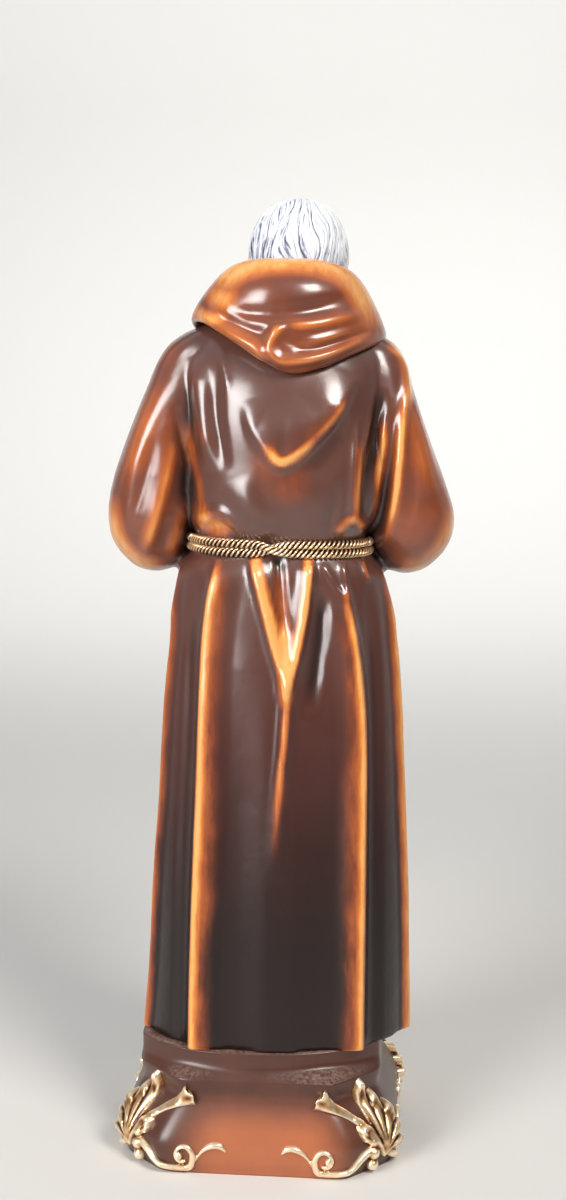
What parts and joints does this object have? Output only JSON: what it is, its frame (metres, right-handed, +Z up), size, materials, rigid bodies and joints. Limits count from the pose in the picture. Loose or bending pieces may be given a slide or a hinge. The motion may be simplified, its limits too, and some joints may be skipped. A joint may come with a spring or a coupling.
{
  "type": "friar statue",
  "caption": "Standing friar in a habit with a rolled hood and a twisted rope girdle, on a low chamfered plinth with leaf and scroll corners.",
  "frame": {"origin": "centre of the statue's bounding box, on the table that the plinth stands on", "axes": "+Z up the figure; the figure faces -Y, its back is to +Y, its right hand is to -X"},
  "size_m": [0.1094, 0.0892, 0.3],
  "materials": {
    "brown_glazed_resin": "cast resin painted dark brown, ochre rubbed over the raised folds, glossy varnish",
    "plinth_resin": "cast resin painted reddish brown, dusty on top, glossy varnish on its belly",
    "rubbed_gilding": "pale gold paint rubbed over a brown ground, dark in the hollows",
    "hair_paint": "white hair paint with dark streaks between the locks",
    "skin_paint": "satin flesh paint over cast resin"
  },
  "bodies": {
    "root": {"friar_figure": "brown_glazed_resin", "plinth": "plinth_resin"}
  },
  "joints": []
}
